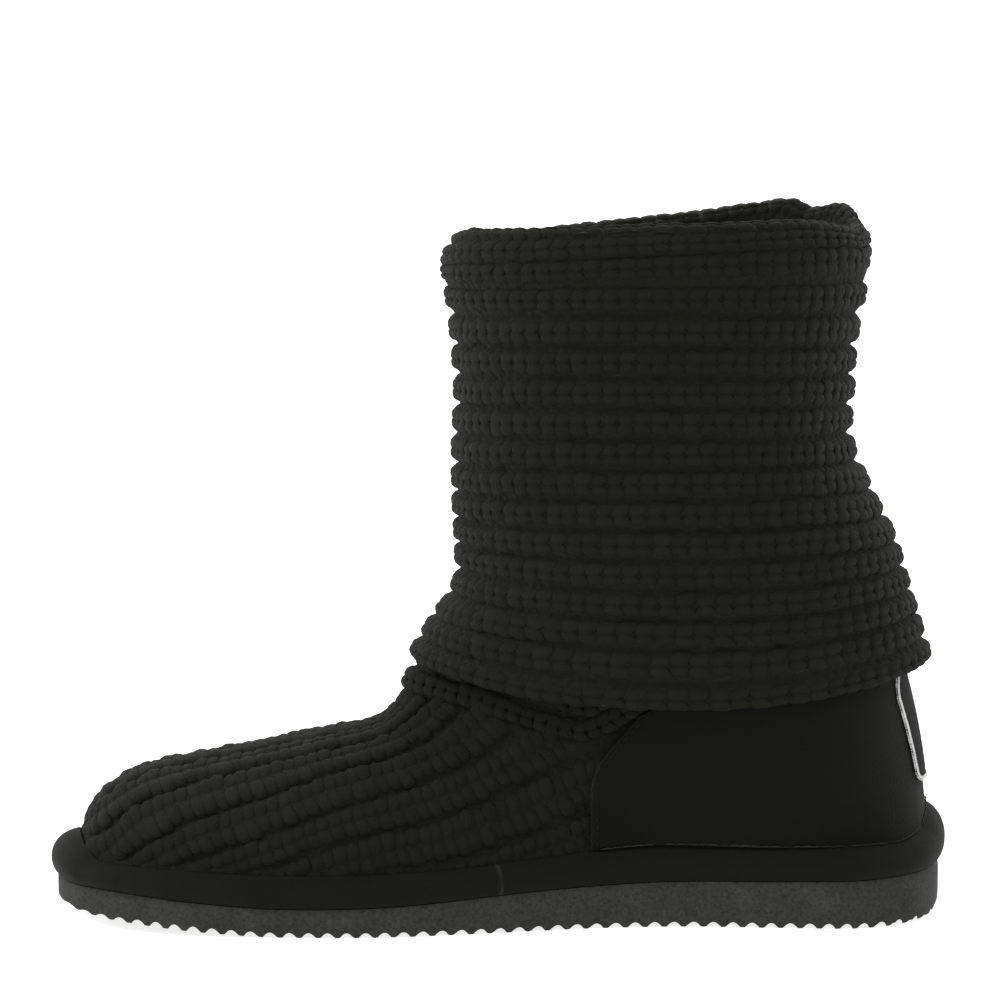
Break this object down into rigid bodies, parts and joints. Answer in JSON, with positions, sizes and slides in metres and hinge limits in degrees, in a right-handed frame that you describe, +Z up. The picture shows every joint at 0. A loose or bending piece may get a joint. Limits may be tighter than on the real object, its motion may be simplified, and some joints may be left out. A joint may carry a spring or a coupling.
{
  "type": "sweater boot",
  "caption": "Pull-on knitted boot with a ribbed shaft turned down as a cuff, suede heel counter, padded rand and rippled wedge sole.",
  "frame": {"origin": "on the floor, under the middle of the boot's box", "axes": "+Z up, the toe towards -X and the heel towards +X, the inner side of the foot towards -Y"},
  "size_m": [0.272, 0.1072, 0.2135],
  "materials": {
    "foam_rubber": "matt dark grey foam rubber",
    "suede": "black suede with a short nap",
    "knit": "black chunky rib knit",
    "felt": "black fleece",
    "patch": "plain black patch with a pale sewn edge"
  },
  "bodies": {
    "root": {"outsole": "foam_rubber", "rand": "suede", "insole": "felt", "upper": "knit", "shaft": "knit", "heel_counter": "suede", "heel_patch": "patch"}
  },
  "joints": []
}
